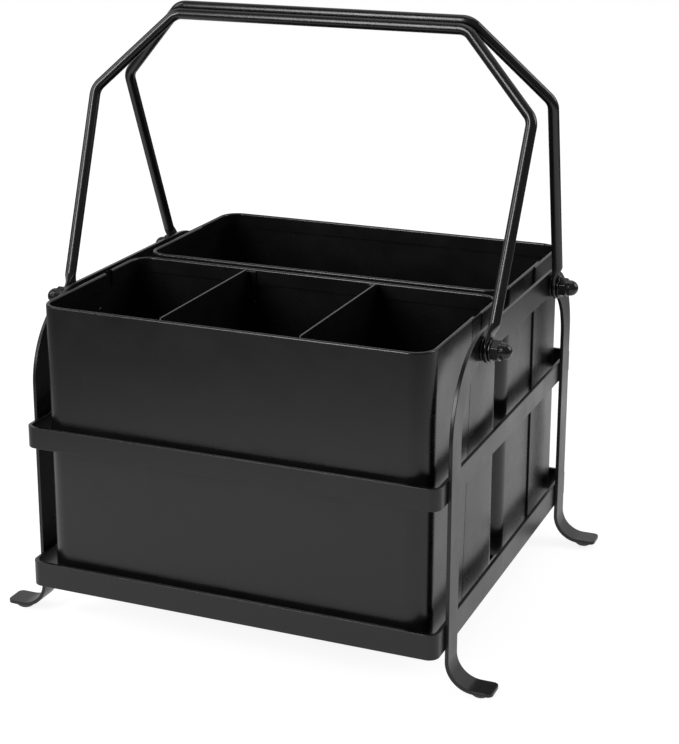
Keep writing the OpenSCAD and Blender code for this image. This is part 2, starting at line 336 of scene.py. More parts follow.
# Black oxide keeps the turned steel's sheen: small, sharper lights on the nuts and washers
FASTENER_COAT = PowderCoat("black oxide on steel fasteners", "#0e0e0f", "#151516", 0.22,
                           peel_mm=0.5, peel_depth_mm=0.006, mottle_mm=3.0)
# Moulded rubber without any film: the dullest face of the caddy
PAD_RUBBER = MouldedRubber("moulded rubber", "#0c0c0c", 0.6)


# Mesh building

class Outline:
    """Edge of a blank or a section: points, each with the direction that faces away from the steel."""

    def __init__(self) -> None:
        """Starts an outline with no points."""
        self.rows: list[tuple[float, float, float, float]] = []

    def line(self, start: Sequence[float], end: Sequence[float], facing: Sequence[float],
             steps: int = 1) -> "Outline":
        """Adds a straight stretch.

        Args:
            start: Its first point.
            end: Its last point.
            facing: The direction that it faces.
            steps: How many pieces it is cut into.

        Returns:
            The outline itself.
        """
        for x, y in np.linspace(start, end, steps + 1):
            self.rows.append((x, y, *facing))
        return self

    def arc(self, centre: Sequence[float], radius: float, first: float, last: float, steps: int,
            hollow: bool = False) -> "Outline":
        """Adds a round stretch.

        Args:
            centre: The centre of the arc.
            radius: Its radius.
            first: The angle where it starts, in degrees.
            last: The angle where it ends, in degrees.
            steps: How many pieces it is cut into.
            hollow: True where the steel lies outside the arc.

        Returns:
            The outline itself.
        """
        sign = -1 if hollow else 1
        for angle in np.radians(np.linspace(first, last, steps + 1)):
            c, s = math.cos(angle), math.sin(angle)
            self.rows.append((centre[0] + radius * c, centre[1] + radius * s, sign * c, sign * s))
        return self

    def table(self) -> np.ndarray:
        """Returns the points and their directions as rows of x, y, facing x, facing y."""
        return np.array(self.rows)

    def mirrored(self, middle: float = 0.0) -> np.ndarray:
        """Returns the table with its mirror image beyond a middle x added, in reverse order."""
        rows = self.table()
        return np.vstack((rows, rows[::-1] * (-1, 1, -1, 1) + (2 * middle, 0, 0, 0)))


def strip_rings(left: np.ndarray, right: np.ndarray, thickness: float) -> np.ndarray:
    """Gives the rings round a strip with rounded edges that lies between two outlines of as many points.

    Args:
        left: One long edge, as an outline's table.
        right: The other long edge.
        thickness: The strip's thickness.

    Returns:
        Points by station and place round the ring, as x, y and height.
    """
    turn, edge_r = np.linspace(0, QUARTER, EDGE_STEPS + 1), DATUM.edge_r
    low = np.column_stack((1 - np.sin(turn), 1 - np.cos(turn))) * edge_r
    high = np.column_stack((edge_r * (1 - np.cos(turn)), thickness - edge_r * (1 - np.sin(turn))))
    profile = np.vstack((low, high))
    halves = []
    for edge, rows in ((left, profile), (right, profile[::-1])):
        flat = edge[:, None, :2] - edge[:, None, 2:] * rows[None, :, :1]
        height = np.broadcast_to(rows[None, :, 1:], (*flat.shape[:2], 1))
        halves.append(np.concatenate((flat, height), axis=2))
    return np.concatenate(halves, axis=1)


def lathe(angles: np.ndarray, rows: Sequence) -> list[np.ndarray]:
    """Gives rings of points round Z.

    Args:
        angles: The points' angles.
        rows: Radius and height of each ring, each as a number or as one number for each angle.

    Returns:
        The rings.
    """
    c, s = np.cos(angles), np.sin(angles)
    return [np.column_stack((r * c, r * s, np.broadcast_to(z, c.shape))) for r, z in rows]


def round_pairs(count: int) -> list[tuple[int, int]]:
    """Returns each number below the count with the next one, and the last with 0."""
    return [(i, (i + 1) % count) for i in range(count)]


def new_object(name: str, data: bpy.types.ID) -> Object:
    """Adds an object to the scene.

    Args:
        name: The object's name.
        data: Its data.

    Returns:
        The object.
    """
    made = bpy.data.objects.new(name, data)
    bpy.context.scene.collection.objects.link(made)
    return made


def skin(name: str, rings: Sequence, finish: Finish, caps: bool = True, loop: bool = False) -> Object:
    """Covers a row of rings of points with a closed mesh.

    Args:
        name: The piece's name.
        rings: Points in millimetres by ring and place round it.
        finish: The piece's finish.
        caps: Whether the first and the last ring are closed by a face.
        loop: Whether the last ring joins the first.

    Returns:
        The piece, at the origin.
    """
    mesh = bmesh.new()
    grid = [[mesh.verts.new(point) for point in ring] for ring in np.asarray(rings, float) * MM]
    for one, two in list(zip(grid, grid[1:])) + ([(grid[-1], grid[0])] if loop else []):
        for i, j in round_pairs(len(one)):
            mesh.faces.new((one[i], one[j], two[j], two[i]))
    if caps:
        mesh.faces.new(grid[0][::-1])
        mesh.faces.new(grid[-1])
    return piece_of(name, mesh, finish)


def piece_of(name: str, mesh: bmesh.types.BMesh, finish: Finish) -> Object:
    """Cleans a mesh and makes it a coated piece.

    Args:
        name: The piece's name.
        mesh: The mesh in metres, which is used up.
        finish: The piece's finish.

    Returns:
        The piece, at the origin.
    """
    bmesh.ops.remove_doubles(mesh, verts=mesh.verts[:], dist=MERGE)
    bmesh.ops.dissolve_degenerate(mesh, dist=MERGE / 2, edges=mesh.edges[:])
    bmesh.ops.recalc_face_normals(mesh, faces=mesh.faces[:])
    data = bpy.data.meshes.new(name)
    mesh.to_mesh(data)
    mesh.free()
    data.materials.append(finish.material())
    return new_object(name, data)


def settle(piece: Object) -> None:
    """Turns a piece's modifiers into plain mesh and removes them.

    Args:
        piece: The piece.
    """
    bpy.context.view_layer.update()
    graph = bpy.context.evaluated_depsgraph_get()
    data = bpy.data.meshes.new_from_object(piece.evaluated_get(graph), preserve_all_data_layers=True,
                                           depsgraph=graph)
    piece.modifiers.clear()
    old = piece.data
    piece.data = data
    bpy.data.meshes.remove(old)
    data.name = piece.name


def drill(piece: Object, places: Sequence[Point], radius: float, depth: float) -> None:
    """Drills holes along X through a piece.

    Args:
        piece: The piece.
        places: Centres of the holes.
        radius: Their radius.
        depth: Length of the drill, half of it on each side of a centre.
    """
    cutter = bmesh.new()
    turn = Matrix.Rotation(QUARTER, 4, "Y")
    for place in places:
        bmesh.ops.create_cone(cutter, cap_ends=True, segments=HOLE_SIDES, radius1=radius * MM,
                              radius2=radius * MM, depth=depth * MM,
                              matrix=Matrix.Translation([v * MM for v in place]) @ turn)
    tool = piece_of("drill", cutter, STRIP_COAT)
    hole = piece.modifiers.new("Holes", "BOOLEAN")
    hole.operation = "DIFFERENCE"
    hole.solver = "EXACT"
    hole.object = tool
    settle(piece)
    discard(tool)


def discard(piece: Object) -> None:
    """Removes a helper and its mesh.

    Args:
        piece: The helper.
    """
    data = piece.data
    bpy.data.objects.remove(piece)
    bpy.data.meshes.remove(data)


def grow(name: str, tree: NodeTree, finish: Finish, values: dict[str, Any],
         base: Mesh | None = None) -> Object:
    """Runs a Geometry Nodes tree and keeps its result as a plain mesh.

    Args:
        name: The piece's name.
        tree: The tree.
        finish: The piece's finish.
        values: The tree's other inputs by name.
        base: The mesh that the tree starts from, if it needs one.

    Returns:
        The piece, at the origin.
    """
    piece = new_object(name, base or bpy.data.meshes.new(name))
    nodes = piece.modifiers.new(tree.name, "NODES")
    nodes.node_group = tree
    keys = {item.name: item.identifier for item in tree.interface.items_tree if item.in_out == "INPUT"}
    for label, value in {**values, "Finish": finish.material()}.items():
        nodes[keys[label]] = value
    settle(piece)
    return piece


def shade(piece: Object) -> None:
    """Shades a piece smooth over its roundings and keeps its flat faces flat.

    Args:
        piece: The piece.
    """
    piece.data.shade_smooth()
    piece.data.set_sharp_from_angle(angle=SHARP_ANGLE)
    weighted = piece.modifiers.new("Even shading", "WEIGHTED_NORMAL")
    weighted.keep_sharp = True
    weighted.weight = FLAT_FACE_WEIGHT
    settle(piece)


def hand_over(piece: Object, body: str, slot: str, *nodes: str) -> None:
    """Shades a finished piece, hangs it on its body and hides the nodes that it stands for.

    Args:
        piece: The piece.
        body: The body that it rides on.
        slot: The record's slot that its finish belongs to; not used.
        nodes: The nodes that it replaces.
    """
    shade(piece)
    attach(piece, body)
    if nodes:
        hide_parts(*nodes)
        corners = np.array([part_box(node) for node in nodes]) / MM
        points = np.array([vertex.co for vertex in piece.data.vertices]) / MM
        low = points.min(0) - corners[:, 0].min(0)
        high = points.max(0) - corners[:, 1].max(0)
        LOG.info("%s: %d faces, off its nodes' box by %.2f mm", piece.name, len(piece.data.polygons),
                 max(np.abs(low).max(), np.abs(high).max()))
    else:
        LOG.info("%s: %d faces", piece.name, len(piece.data.polygons))


def coat_node(node: Object, finish: Finish) -> None:
    """Gives a CAD node that stays in view its finish.

    Args:
        node: The node.
        finish: Its finish.
    """
    node.data.materials.clear()
    node.data.materials.append(finish.material())
    LOG.info("%s keeps its CAD shape", node.name)


# The frame

@dataclass
class SideFrames:
    """The two side frames: each a strip stamped to an arch, whose legs curl outwards into feet."""

    rail_h: float = 11.0
    shoulder_r: float = 36.8
    curl_r: float = 10.8
    foot_flat: float = 7.6
    tip_r: float = 2.4
    foot_steps: int = 2
    tip_steps: int = 8
    curl_steps: int = 22
    straight_steps: int = 6
    shoulder_steps: int = 36
    drill_depth: float = 6.0

    @property
    def curl_z(self) -> float:
        """Height of the curls' centres."""
        return DATUM.pad_h + DATUM.strip_t + self.curl_r

    @property
    def curl_length(self) -> float:
        """Length of strip in a curl, along the middle of its thickness."""
        return (self.curl_r + DATUM.strip_t / 2) * QUARTER

    def edge(self, outer: bool) -> np.ndarray:
        """Gives one long edge of the flat blank, from the front foot's tip over the arch to the rear one's.

        Args:
            outer: True for the edge on the outside of the arch.

        Returns:
            The outline's table, with Y across and the unrolled height up.
        """
        tip_v = self.curl_z - self.curl_length - self.foot_flat
        if outer:
            leg_y, top, radius = DATUM.leg_y, DATUM.frame_h, self.shoulder_r
            first, sign = 180, 1
        else:
            leg_y, top = DATUM.leg_y - DATUM.leg_w, DATUM.frame_h - self.rail_h
            radius = self.shoulder_r - (DATUM.leg_w + self.rail_h) / 2
            first, sign = 360, -1
        corner_y, corner_v = sign * self.tip_r - leg_y, tip_v + self.tip_r
        half = Outline().line((-DATUM.leg_mid_y, tip_v), (corner_y, tip_v), (0, -1), self.foot_steps)
        half.arc((corner_y, corner_v), self.tip_r, 270, first, self.tip_steps)
        stops = (corner_v, self.curl_z - self.curl_length, self.curl_z, top - radius)
        steps = (self.foot_steps, self.curl_steps, self.straight_steps)
        for low, high, count in zip(stops, stops[1:], steps):
            half.line((-leg_y, low), (-leg_y, high), (-sign, 0), count)
        half.arc((radius - leg_y, top - radius), radius, 180, 90, self.shoulder_steps, hollow=not outer)
        half.line((radius - leg_y, top), (0, top), (0, sign), self.straight_steps)
        return half.mirrored()

    def curl(self, flat: np.ndarray) -> np.ndarray:
        """Rolls the flat blank's legs into feet and stands it on the right side.

        Args:
            flat: Points as Y, unrolled height and height above the blank's inner face.

        Returns:
            The points in the caddy.
        """
        y, v, n = np.moveaxis(flat, -1, 0)
        inner_x = DATUM.frame_x - DATUM.strip_t
        centre_x = DATUM.frame_x + self.curl_r
        radius = self.curl_r + DATUM.strip_t - n
        angle = np.clip((self.curl_z - v) / (self.curl_r + DATUM.strip_t / 2), 0, QUARTER)
        past = np.clip(self.curl_z - self.curl_length - v, 0, None)
        x = np.where(v >= self.curl_z, inner_x + n, centre_x - radius * np.cos(angle) + past)
        z = np.where(v >= self.curl_z, v, self.curl_z - radius * np.sin(angle))
        return np.stack((x, y, z), axis=-1)

    def build(self) -> None:
        """Builds the two side frames."""
        rings = strip_rings(self.edge(True), self.edge(False), DATUM.strip_t)
        right = self.curl(rings)
        for side in Side:
            piece = skin(f"{side.word}_side_strip", right * (side.value, 1, 1), STRIP_COAT, caps=False)
            x, y, z = side.value * DATUM.frame_x, DATUM.pivot_y, DATUM.pivot_z
            drill(piece, [(x, -y, z), (x, y, z)], DATUM.hole_r, self.drill_depth)
            hand_over(piece, "frame", "frame_coat", f"{side.word}_side_frame")


@dataclass
class Bands:
    """The two rings of strip round the bins and the straps that carry the bins."""

    half_w: float = 92.4
    half_d: float = 96.0
    corner_r: float = 4.6
    mid_z: float = 82.7
    mid_h: float = 9.4
    low_z: float = 19.5
    low_h: float = 11.0
    strap_x: float = 78.0
    strap_w: float = 12.0
    corner_steps: int = 10

    def tree(self) -> NodeTree:
        """Makes the tree that sweeps a rounded strip section round a rectangle with round corners.

        Returns:
            The tree.
        """
        tree, size = geometry_tree(
            "Ring of strip", Float="Width, Depth, Bend radius, Thickness, Height, Edge radius, Middle",
            Int="Bend steps, Edge steps")
        swept = []
        for width, height, radius, steps in (("Width", "Depth", "Bend radius", "Bend steps"),
                                             ("Thickness", "Height", "Edge radius", "Edge steps")):
            corners = add_node(tree, "GeometryNodeCurvePrimitiveQuadrilateral",
                               {"Width": size[width], "Height": size[height]})
            swept.append(add_node(tree, "GeometryNodeFilletCurve", {
                "Curve": corners, "Radius": size[radius], "Count": size[steps]}, mode="POLY"))
        ring = add_node(tree, "GeometryNodeCurveToMesh", {"Curve": swept[0], "Profile Curve": swept[1]})
        lift = add_node(tree, "ShaderNodeCombineXYZ", {"Z": size["Middle"]})
        placed = add_node(tree, "GeometryNodeTransform", {"Geometry": ring, "Translation": lift})
        finish_tree(tree, placed, size["Finish"])
        return tree

    def strap(self, side: Side) -> None:
        """Builds the flat strap on one side.

        Args:
            side: The side.
        """
        half_w, reach = self.strap_w / 2, self.half_d - DATUM.strip_t
        left, right = (Outline().line((sign * half_w, -reach), (sign * half_w, reach), (sign, 0)).table()
                       for sign in (-1, 1))
        rings = strip_rings(left, right, DATUM.strip_t) + (side.value * self.strap_x, 0, self.low_z)
        strap = skin(f"{side.word}_bin_strap", rings, STRIP_COAT)
        hand_over(strap, "frame", "frame_coat", f"{side.word}_base_strap")

    def build(self) -> None:
        """Builds the bands and the straps."""
        tree, thickness = self.tree(), DATUM.strip_t
        bands = (("mid_band", self.mid_z, self.mid_h), ("lower_band", self.low_z, self.low_h))
        for name, bottom, height in bands:
            ring = grow(f"{name}_ring", tree, STRIP_COAT, {
                "Width": (2 * self.half_w - thickness) * MM, "Depth": (2 * self.half_d - thickness) * MM,
                "Bend radius": (self.corner_r - thickness / 2) * MM, "Bend steps": self.corner_steps,
                "Thickness": thickness * MM, "Height": height * MM, "Edge radius": DATUM.edge_r * MM,
                "Edge steps": EDGE_STEPS, "Middle": (bottom + height / 2) * MM})
            hand_over(ring, "frame", "frame_coat", name)
        for side in Side:
            self.strap(side)


@dataclass
class SetsOfFour:
    """What the caddy has four of: the foot pads, and the washers and nuts at the pivots."""

    pad_d: float = 9.8
    pad_flat_d: float = 5.2
    spacer_t: float = 1.0
    washer_x: float = 97.4
    washer_d: float = 10.0
    washer_t: float = 0.8
    nut_x: float = 98.2
    nut_af: float = 8.0
    nut_hex_h: float = 3.2
    nut_dome_d: float = 7.0
    nut_l: float = 8.0
    nut_turn: float = 5.0
    nut_corner_r: float = 0.5
    nut_inset: float = 0.1
    nut_neck_inset: float = 0.15
    nut_neck_r: float = 0.25
    nut_roof: float = 1.0
    nut_steps: int = 6
    neck_steps: int = 4
    dome_steps: int = 15
    pad_steps: int = 12
    washer_steps: int = 3
    washer_edge_share: float = 0.25
    flat_steps: int = 2
    sides: int = 72

    def tree(self) -> NodeTree:
        """Makes the tree that puts one part at four places, turned outwards on each side.

        Returns:
            The tree.
        """
        tree, size = geometry_tree(
            "Set of four", Object="Part", Float="Spread X, Spread Y, Height, Turn outwards")
        part = add_node(tree, "GeometryNodeObjectInfo", {"Object": size["Part"]})
        grid = add_node(tree, "GeometryNodeMeshGrid", {
            "Size X": size["Spread X"], "Size Y": size["Spread Y"], "Vertices X": 2, "Vertices Y": 2})
        lift = add_node(tree, "ShaderNodeCombineXYZ", {"Z": size["Height"]})
        places = add_node(tree, "GeometryNodeTransform", {"Geometry": grid, "Translation": lift})
        place = add_node(tree, "GeometryNodeInputPosition")
        across = add_node(tree, "ShaderNodeSeparateXYZ", {0: place})
        side = add_node(tree, "ShaderNodeMath", {0: across.outputs["X"]}, operation="SIGN")
        turn = add_node(tree, "ShaderNodeMath", {0: side, 1: size["Turn outwards"]}, operation="MULTIPLY")
        tilt = add_node(tree, "ShaderNodeCombineXYZ", {"Y": turn})
        four = add_node(tree, "GeometryNodeInstanceOnPoints", {
            "Points": places, "Instance": part.outputs["Geometry"], "Rotation": tilt})
        finish_tree(tree, four, size["Finish"])
        return tree

    def turned(self, name: str, rows: np.ndarray, finish: Finish, loop: bool = False) -> Object:
        """Turns a section about Z.

        Args:
            name: The part's name.
            rows: Radius and height of each point of the section.
            finish: The part's finish.
            loop: Whether the section is closed and stays clear of the axis.

        Returns:
            The part, with its axis on Z.
        """
        angles = np.linspace(0, 2 * math.pi, self.sides, endpoint=False)
        return skin(name, lathe(angles, rows), finish, caps=False, loop=loop)

    def pad(self) -> Object:
        """Builds a foot pad: a dome cut flat where it stands, with its top against the foot.

        Returns:
            The pad, its flat at the origin.
        """
        height, flat_r = DATUM.pad_h, self.pad_flat_d / 2
        centre_z = (self.pad_d ** 2 - self.pad_flat_d ** 2 + 4 * height ** 2) / (8 * height)
        radius = math.hypot(centre_z, flat_r)
        low = -math.degrees(math.acos(flat_r / radius))
        high = -math.degrees(math.asin((centre_z - height) / radius))
        dome = Outline().line((0, 0), (flat_r, 0), (0, -1), self.flat_steps)
        dome.arc((0, centre_z), radius, low, high, self.pad_steps)
        dome.line((radius * math.cos(math.radians(high)), height), (0, height), (0, 1), self.flat_steps)
        return self.turned("pad", dome.table()[:, :2], PAD_RUBBER)

    def washer_pair(self) -> Object:
        """Builds a pivot's two washers, with turned edges: one on the frame and one under the nut.

        Returns:
            Both as one part, with the axis on Z.
        """
        outer, inner = self.washer_d / 2, DATUM.hole_r
        mesh = bmesh.new()
        for low, thickness in ((0.0, self.spacer_t), (self.washer_x - DATUM.frame_x, self.washer_t)):
            edge_r = self.washer_edge_share * thickness
            bottom, top = low + edge_r, low + thickness - edge_r
            corners = ((outer - edge_r, bottom), (outer - edge_r, top), (inner + edge_r, top),
                       (inner + edge_r, bottom))
            section = Outline()
            for centre, first in zip(corners, (-90, 0, 90, 180)):
                section.arc(centre, edge_r, first, first + 90, self.washer_steps)
            washer = self.turned("washer", section.table()[:, :2], FASTENER_COAT, loop=True)
            mesh.from_mesh(washer.data)
            discard(washer)
        return piece_of("washer_pair", mesh, FASTENER_COAT)

    def nut(self) -> Object:
        """Builds an acorn nut: a hexagon with turned-off corners, a short neck and a dome.

        Returns:
            The nut, with its axis on Z.
        """
        apothem, dome_r = self.nut_af / 2, self.nut_dome_d / 2
        half = math.radians(HEXAGON_CORNER / 2)
        reach = (apothem - self.nut_corner_r) / math.cos(half)
        flat = 2 * reach * math.sin(half)
        hexagon = Outline()
        for corner in range(6):
            mid = HEXAGON_CORNER * corner + self.nut_turn
            centre = (reach * math.cos(math.radians(mid)), reach * math.sin(math.radians(mid)))
            first, after = mid - HEXAGON_CORNER / 2, mid + HEXAGON_CORNER / 2
            hexagon.arc(centre, self.nut_corner_r, first, after, self.nut_steps)
            x, y = hexagon.rows[-1][:2]
            end = (x - flat * math.sin(math.radians(after)), y + flat * math.cos(math.radians(after)))
            hexagon.line((x, y), end, (0, 0), self.nut_steps)
            del hexagon.rows[-1]
        x, y = hexagon.table()[:, :2].T
        angles, radii = np.arctan2(y, x), np.hypot(x, y)
        turned_off = np.clip(radii - apothem, 0, None) * math.tan(half)
        hex_h, neck_r = self.nut_hex_h, self.nut_neck_r
        roof, bore_r = hex_h + self.nut_roof, DATUM.hole_r
        rows = [(0, roof), (bore_r, roof), (bore_r, 0), (apothem - self.nut_inset, 0), (radii, turned_off),
                (radii, hex_h - turned_off), (apothem - self.nut_neck_inset, hex_h)]
        rows += [(dome_r + neck_r * (1 - math.sin(turn)), hex_h + neck_r * (1 - math.cos(turn)))
                 for turn in np.linspace(0, QUARTER, self.neck_steps + 1)]
        rows += [(dome_r * math.cos(turn), self.nut_l - dome_r * (1 - math.sin(turn)))
                 for turn in np.linspace(0, QUARTER, self.dome_steps + 1)]
        return skin("nut", lathe(angles, rows), FASTENER_COAT, caps=False)

    def build(self) -> None:
        """Builds the pads, the washers and the nuts, each as one piece for the frame."""
        tree = self.tree()
        pads = [f"{end.word}_{side.word}_foot_pad" for end in End for side in Side]
        feet = (DATUM.foot_x, DATUM.leg_mid_y, 0)
        pivot = (DATUM.pivot_y, DATUM.pivot_z)
        black = (FASTENER_COAT, "hardware_black", QUARTER)
        sets = (
            ("foot_pads", self.pad(), feet, pads, PAD_RUBBER, "foot_rubber", 0),
            ("washers", self.washer_pair(), (DATUM.frame_x, *pivot), ["pivot_washers"], *black),
            ("nuts", self.nut(), (self.nut_x, *pivot), ["acorn_nuts"], *black),
        )
        for name, part, (x, y, z), nodes, finish, slot, turn in sets:
            piece = grow(name, tree, finish, {
                "Part": part, "Spread X": 2 * x * MM, "Spread Y": 2 * y * MM, "Height": z * MM,
                "Turn outwards": turn})
            discard(part)
            hand_over(piece, "frame", slot, *nodes)


# The handles

@dataclass
class Handle:
    """A folding handle: rod bent to a flat-topped arch, its ends hammered flat and drilled."""

    end: End
    lean: float
    rod_d: float = 4.8
    foot_x: float = 96.8
    bend_x: float = 100.6
    bend_h: float = 94.3
    grip_x: float = 67.4
    top_h: float = 130.2
    bend_r: float = 7.5
    flat_x: float = 96.2
    flat_t: float = 2.2
    flat_d: float = 11.0
    neck_h: float = 5.6
    neck_w: float = 7.9
    neck_top: float = 10.6
    squareness: float = 1.4
    drill_depth: float = 5.0
    neck_steps: int = 13
    flat_steps: int = 17
    tip_steps: int = 6
    bend_steps: int = 14
    sides: int = 32

    @property
    def tilt(self) -> tuple[float, float]:
        """Sine and cosine of the lean."""
        return math.sin(math.radians(self.lean)), math.cos(math.radians(self.lean))

    def place(self, points: Sequence) -> np.ndarray:
        """Puts points of the handle's own plane in the caddy.

        Args:
            points: Across, up along the handle and out of its plane, in millimetres.

        Returns:
            The points in the caddy.
        """
        sin, cos = self.tilt
        x, up, out = np.asarray(points, float).T
        y = up * sin - out * cos - DATUM.pivot_y
        return np.column_stack((x, -self.end.value * y, up * cos + out * sin + DATUM.pivot_z))

    @staticmethod
    @cache
    def tree() -> NodeTree:
        """Makes the tree that bends a round rod along a line of corners.

        Returns:
            The tree.
        """
        tree, size = geometry_tree("Bent rod", Float="Bend radius, Rod radius", Int="Bend steps, Sides")
        path = add_node(tree, "GeometryNodeMeshToCurve", {"Mesh": size["Geometry"]})
        path = add_node(tree, "GeometryNodeFilletCurve", {
            "Curve": path, "Radius": size["Bend radius"], "Count": size["Bend steps"]}, mode="POLY")
        section = add_node(tree, "GeometryNodeCurvePrimitiveCircle", {
            "Radius": size["Rod radius"], "Resolution": size["Sides"]})
        rod = add_node(tree, "GeometryNodeCurveToMesh", {"Curve": path, "Profile Curve": section})
        finish_tree(tree, rod, size["Finish"])
        return tree

    def rod(self) -> Object:
        """Builds the round rod, open at both ends.

        Returns:
            The rod.
        """
        share = self.neck_top / self.bend_h
        neck_x = self.foot_x + (self.bend_x - self.foot_x) * share
        half = [(neck_x, self.neck_top, 0), (self.bend_x, self.bend_h, 0), (self.grip_x, self.top_h, 0)]
        corners = half + [(-x, up, out) for x, up, out in reversed(half)]
        line = bpy.data.meshes.new("line")
        stretches = [(i, i + 1) for i in range(len(corners) - 1)]
        line.from_pydata((self.place(corners) * MM).tolist(), stretches, [])
        return grow(f"{self.end.word}_rod", self.tree(), ROD_COAT, {
            "Bend radius": self.bend_r * MM, "Bend steps": self.bend_steps,
            "Rod radius": self.rod_d / 2 * MM, "Sides": self.sides}, line)

    def end_section(self, height: float) -> tuple[float, float, float, float]:
        """Gives the section of a hammered end.

        Args:
            height: Height above the pivot, along the handle.

        Returns:
            Its centre across the caddy, its half thickness, its half width and how square it is.
        """
        share = min(max((self.neck_top - height) / (self.neck_top - self.neck_h), 0), 1)
        ease = share * share * (3 - 2 * share)
        rod_x = self.foot_x + (self.bend_x - self.foot_x) * height / self.bend_h
        centre = rod_x + (self.flat_x - rod_x) * ease
        half_t = self.rod_d / 2 + (self.flat_t - self.rod_d) / 2 * ease
        half_w = self.rod_d / 2 + (self.neck_w - self.rod_d) / 2 * share
        disc_r = self.flat_d / 2
        disc_w = math.sqrt(max(disc_r ** 2 - height ** 2, 0))
        if 0 <= height < self.neck_h:
            half_w = max(disc_w, disc_r + (self.neck_w / 2 - disc_r) * height / self.neck_h)
        elif height < 0:
            half_w = disc_w
        depth = height + disc_r
        if depth < self.flat_t / 2:
            half_t *= math.sqrt(max(1 - (1 - depth / (self.flat_t / 2)) ** 2, 0))
        return centre, half_t, half_w, 2 + self.squareness * ease

    def hammer(self, mesh: bmesh.types.BMesh, side: Side) -> None:
        """Carries the rod on into a flat end with a round tip.

        Args:
            mesh: The rod's mesh, in metres.
            side: The side whose end is made.
        """
        ring = [v for v in mesh.verts if v.is_boundary and v.co.x * side.value > 0]
        x, y, z = np.array([v.co for v in ring]).T / MM
        sin, cos = self.tilt
        out = (z - DATUM.pivot_z) * sin - (DATUM.pivot_y - self.end.value * y) * cos
        centre = self.end_section(self.neck_top)[0]
        angles = np.arctan2(out, x * side.value - centre)
        order = np.argsort(angles)
        ring, angles = [ring[i] for i in order], angles[order]
        c, s = np.cos(angles), np.sin(angles)
        tip = self.flat_d / 2 - self.flat_t / 2
        heights = [*np.linspace(self.neck_top, self.neck_h, self.neck_steps + 1)[1:],
                   *np.linspace(self.neck_h, -tip, self.flat_steps + 1)[1:],
                   *(-tip - self.flat_t / 2 * np.sin(np.linspace(0, QUARTER, self.tip_steps + 1)[1:-1]))]
        for height in heights:
            centre, half_t, half_w, power = self.end_section(height)
            x = side.value * (centre + half_t * np.sign(c) * np.abs(c) ** (2 / power))
            out = half_w * np.sign(s) * np.abs(s) ** (2 / power)
            points = self.place(np.column_stack((x, np.full_like(x, height), out))) * MM
            lower = [mesh.verts.new(point) for point in points]
            for i, j in round_pairs(len(ring)):
                mesh.faces.new((ring[i], ring[j], lower[j], lower[i]))
            ring = lower
        pole = mesh.verts.new(self.place([[side.value * self.flat_x, -self.flat_d / 2, 0]])[0] * MM)
        for i, j in round_pairs(len(ring)):
            mesh.faces.new((ring[i], ring[j], pole))

    def build(self) -> None:
        """Builds the handle as one piece."""
        rod = self.rod()
        mesh = bmesh.new()
        mesh.from_mesh(rod.data)
        discard(rod)
        for side in Side:
            self.hammer(mesh, side)
        name = f"{self.end.word}_handle"
        piece = piece_of(f"{name}_rod", mesh, ROD_COAT)
        holes = [(side.value * self.flat_x, self.end.value * DATUM.pivot_y, DATUM.pivot_z) for side in Side]
        drill(piece, holes, DATUM.hole_r, self.drill_depth)
        hand_over(piece, name, "handle_coat", name)


# The bins

# A spot weld's mark as shares of its radius and height: a raised rim round a shallow dish
WELD_MARK = ((0.9, 0.8), (0.78, 1.0), (0.66, 0.7), (0.5, 0.125), (0.0, 0.09375))


